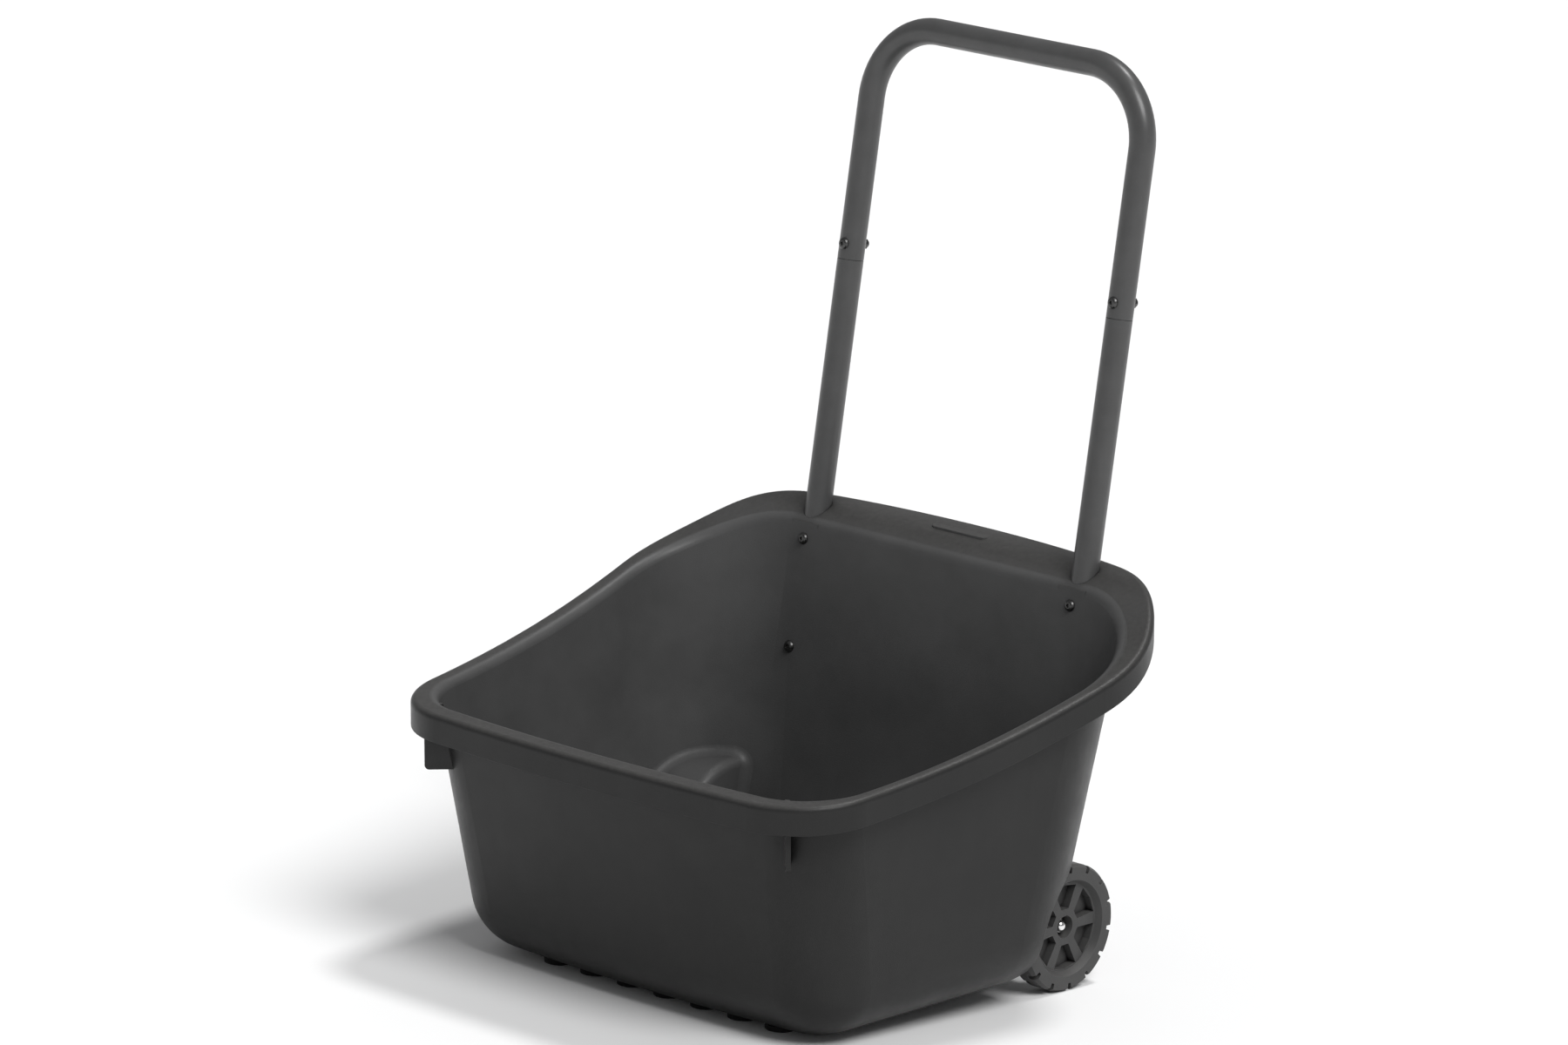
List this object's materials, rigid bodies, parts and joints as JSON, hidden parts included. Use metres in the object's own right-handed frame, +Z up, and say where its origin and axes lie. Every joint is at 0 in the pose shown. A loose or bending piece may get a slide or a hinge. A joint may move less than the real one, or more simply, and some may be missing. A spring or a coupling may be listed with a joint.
{
  "type": "two-wheeled garden cart",
  "caption": "Garden cart with a moulded plastic tub, a raised back rim, wheels set into the rear corners and a bolted U-shaped tube handle.",
  "frame": {"origin": "on the ground, under the middle of the cart's outline, with the cart at rest on its wheels and the front ends of its skid ribs", "axes": "+Z up; the low pouring edge towards -Y, the raised back and the handle towards +Y; +X to the right as seen from the pouring edge"},
  "size_m": [0.6726, 0.6235, 0.9461],
  "materials": {
    "tub_plastic": "matte, fine moulded grain",
    "tube_paint": "semi-gloss powder coat",
    "plug_plastic": "matte",
    "bush_plastic": "smooth natural nylon",
    "wheel_plastic": "matte, hard moulded",
    "bright_plating": "bright plated",
    "axle_steel": "zinc plated",
    "bolt_steel": "black oxide"
  },
  "bodies": {
    "cart": {"tub": "tub_plastic", "upper_handle": "tube_paint", "axle_rod": "axle_steel", "lower_leg_left": "tube_paint", "leg_plug_left": "plug_plastic", "handle_bolt_left": "bolt_steel", "handle_washer_left": "bolt_steel", "handle_nut_left": "bolt_steel", "upper_wall_bolt_left": "bolt_steel", "upper_wall_washer_left": "bolt_steel", "upper_wall_nut_left": "bolt_steel", "lower_wall_bolt_left": "bolt_steel", "lower_wall_washer_left": "bolt_steel", "lower_wall_nut_left": "bolt_steel", "axle_spacer_left": "axle_steel", "axle_washer_left": "axle_steel", "dome_nut_left": "bright_plating", "lower_leg_right": "tube_paint", "leg_plug_right": "plug_plastic", "handle_bolt_right": "bolt_steel", "handle_washer_right": "bolt_steel", "handle_nut_right": "bolt_steel", "upper_wall_bolt_right": "bolt_steel", "upper_wall_washer_right": "bolt_steel", "upper_wall_nut_right": "bolt_steel", "lower_wall_bolt_right": "bolt_steel", "lower_wall_washer_right": "bolt_steel", "lower_wall_nut_right": "bolt_steel", "axle_spacer_right": "axle_steel", "axle_washer_right": "axle_steel", "dome_nut_right": "bright_plating"},
    "wheel_left_body": {"wheel_left": "wheel_plastic", "wheel_bush_left": "bush_plastic"},
    "wheel_right_body": {"wheel_right": "wheel_plastic", "wheel_bush_right": "bush_plastic"}
  },
  "joints": [
    {"name": "wheel_left_spin", "type": "hinge", "parent": "cart", "child": "wheel_left_body", "pos_m": [-0.238, 0.15931, 0.067], "axis": [1, 0, 0], "continuous": true},
    {"name": "wheel_right_spin", "type": "hinge", "parent": "cart", "child": "wheel_right_body", "pos_m": [0.238, 0.15931, 0.067], "axis": [1, 0, 0], "continuous": true}
  ]
}
